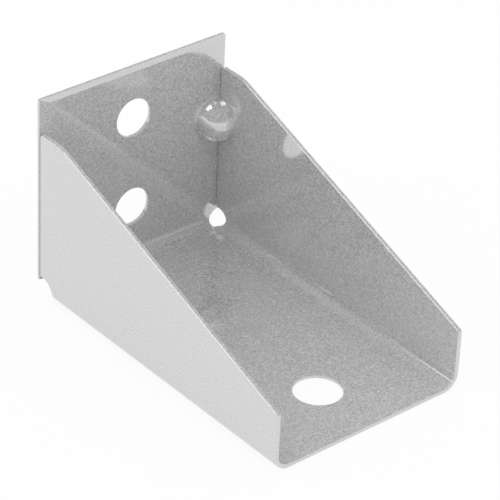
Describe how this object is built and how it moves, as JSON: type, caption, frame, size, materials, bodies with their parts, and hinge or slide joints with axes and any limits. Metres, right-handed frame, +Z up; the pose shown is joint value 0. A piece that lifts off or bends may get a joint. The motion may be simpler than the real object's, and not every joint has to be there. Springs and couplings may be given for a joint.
{
  "type": "shelving wall bracket",
  "caption": "Folded sheet-steel wall bracket with a screw plate, two sloping sides and a floor with a bolt hole.",
  "frame": {"origin": "on the back face of the wall plate, midway between its two screw holes", "axes": "+Y out of the plate's back face into the wall, +Z up along the plate, +X along the plate's width"},
  "size_m": [0.05, 0.08, 0.049],
  "materials": {
    "coat": "silver-grey metallic powder coat, semi-gloss with a fine grain"
  },
  "bodies": {
    "root": {"bracket": "coat"}
  },
  "joints": []
}
